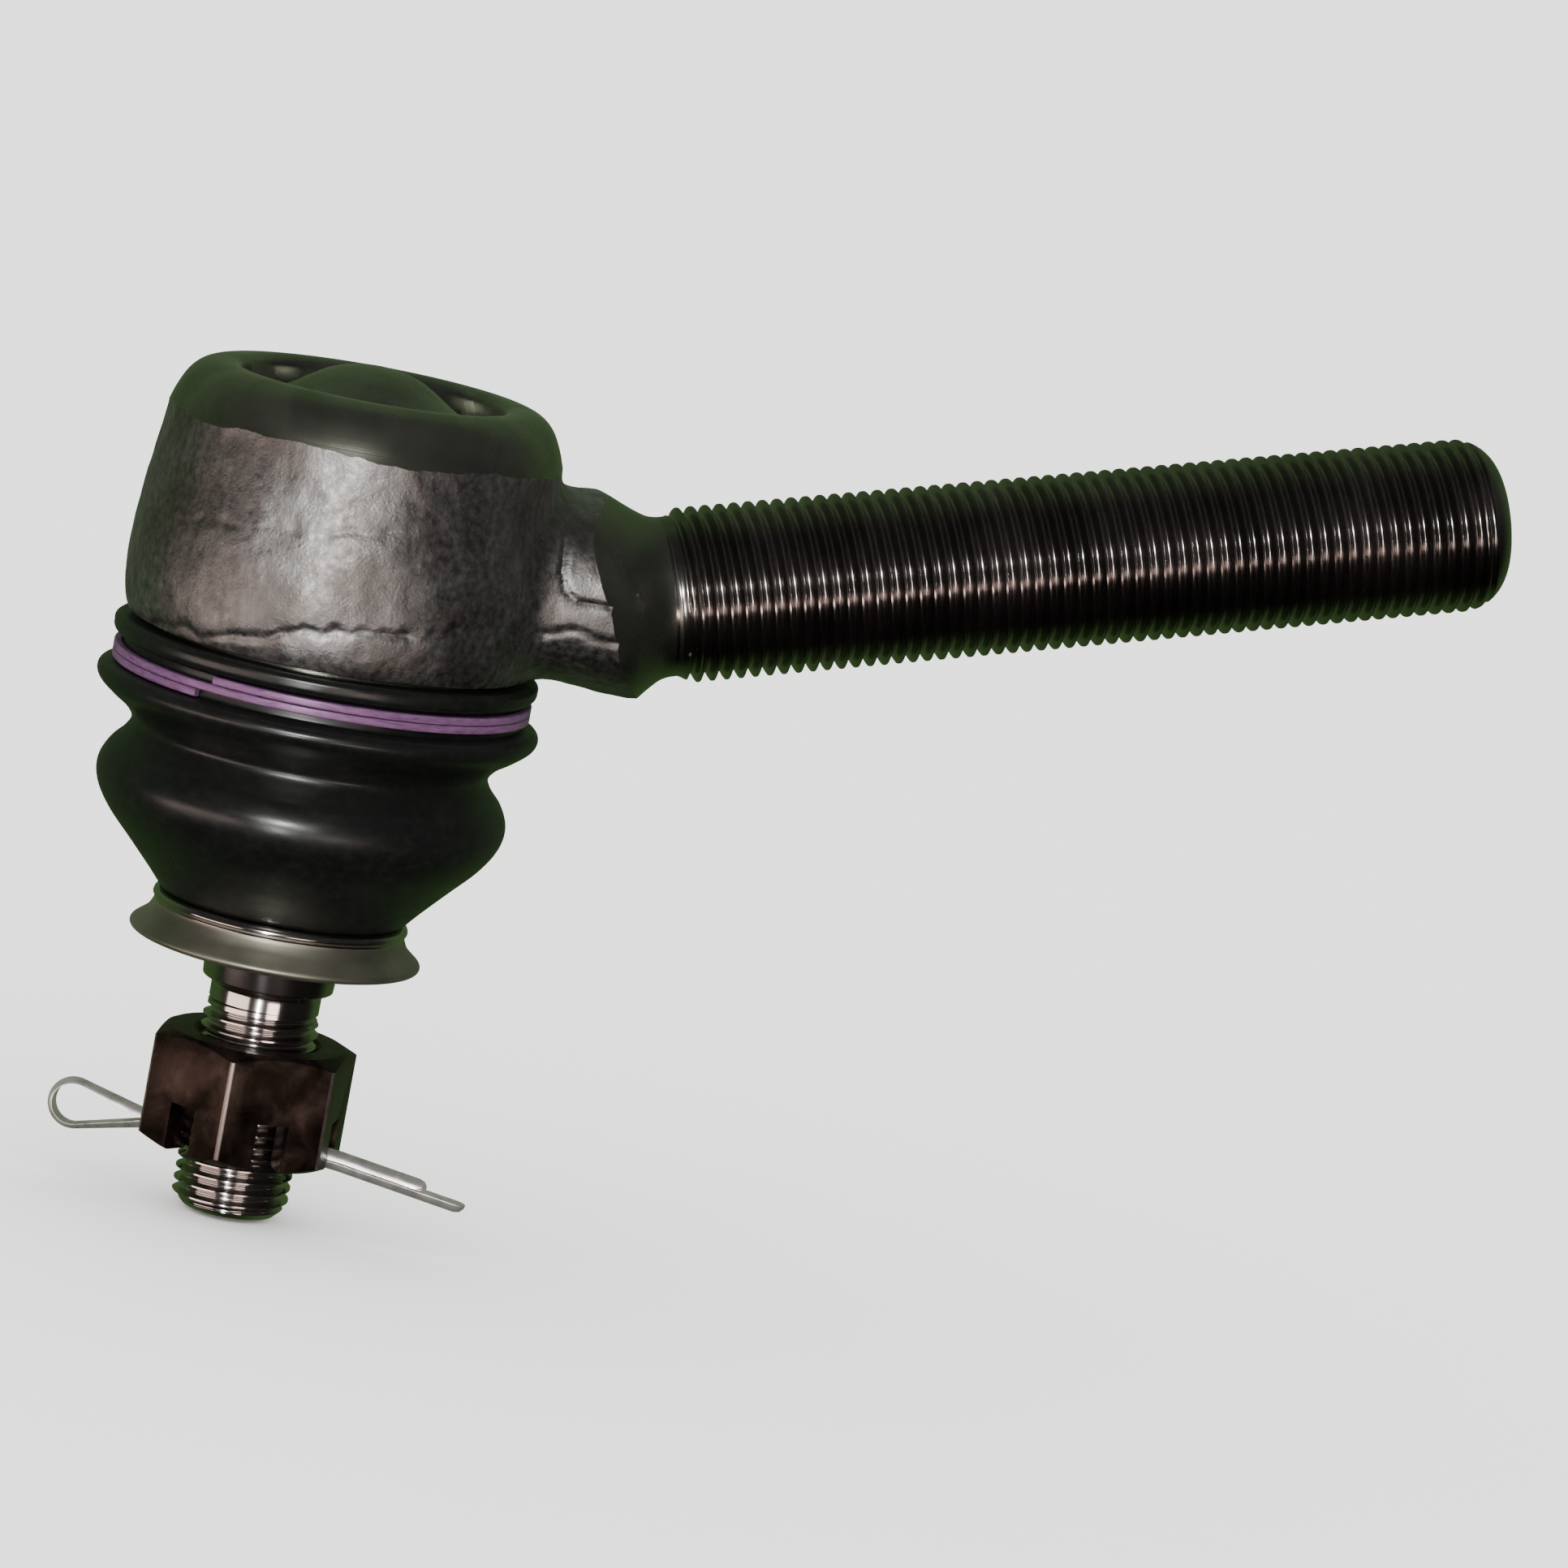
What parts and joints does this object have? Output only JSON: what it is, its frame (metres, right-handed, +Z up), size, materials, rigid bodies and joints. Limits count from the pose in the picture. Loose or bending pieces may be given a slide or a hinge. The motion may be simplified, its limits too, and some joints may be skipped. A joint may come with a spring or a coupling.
{
  "type": "tie rod end",
  "caption": "Tie rod end with a ball stud in a forged housing, a raised threaded shank, a bellows boot, a slotted nut and a cotter pin.",
  "frame": {"origin": "on the stud's axis at the large end of its taper", "axes": "+Z up the stud to the ball and the cover, +X to the side on which the shank stands out, +Y away from the viewer"},
  "size_m": [0.1427, 0.0452, 0.0986],
  "materials": {
    "forged_steel": "dark rough forging with turned lip and shank",
    "cover_steel": "pressed steel, dark oiled",
    "spring_steel": "bare spring wire",
    "seat_plastic": "natural acetal",
    "stud_steel": "ground and polished",
    "boot_rubber": "semi-gloss black rubber",
    "clamp_purple": "satin purple coating",
    "seat_ring_steel": "pale plated steel",
    "nut_steel": "dark brown oiled phosphate with worn edges",
    "pin_steel": "bright drawn wire"
  },
  "bodies": {
    "housing": {"housing": "forged_steel", "cover_plug": "cover_steel", "preload_spring": "spring_steel", "lower_ball_seat": "seat_plastic", "boot": "boot_rubber", "boot_clamp_ring": "clamp_purple"},
    "upper_seat": {"upper_ball_seat": "seat_plastic"},
    "boot_foot": {"boot_seat_ring": "seat_ring_steel"},
    "stud": {"ball_stud": "stud_steel", "slotted_nut": "nut_steel", "cotter_pin": "pin_steel"}
  },
  "joints": [
    {"name": "tilt_direction", "type": "hinge", "parent": "housing", "child": "upper_seat", "pos_m": [0, 0, 0.028], "axis": [0, 0, 1], "continuous": true},
    {"name": "stud_tilt", "type": "hinge", "parent": "upper_seat", "child": "boot_foot", "pos_m": [0, 0, 0.028], "axis": [0, 1, 0], "range_deg": [-20, 20], "deforming": ["boot"]},
    {"name": "stud_spin", "type": "hinge", "parent": "boot_foot", "child": "stud", "pos_m": [0, 0, 0.028], "axis": [0, 0, 1], "continuous": true}
  ]
}
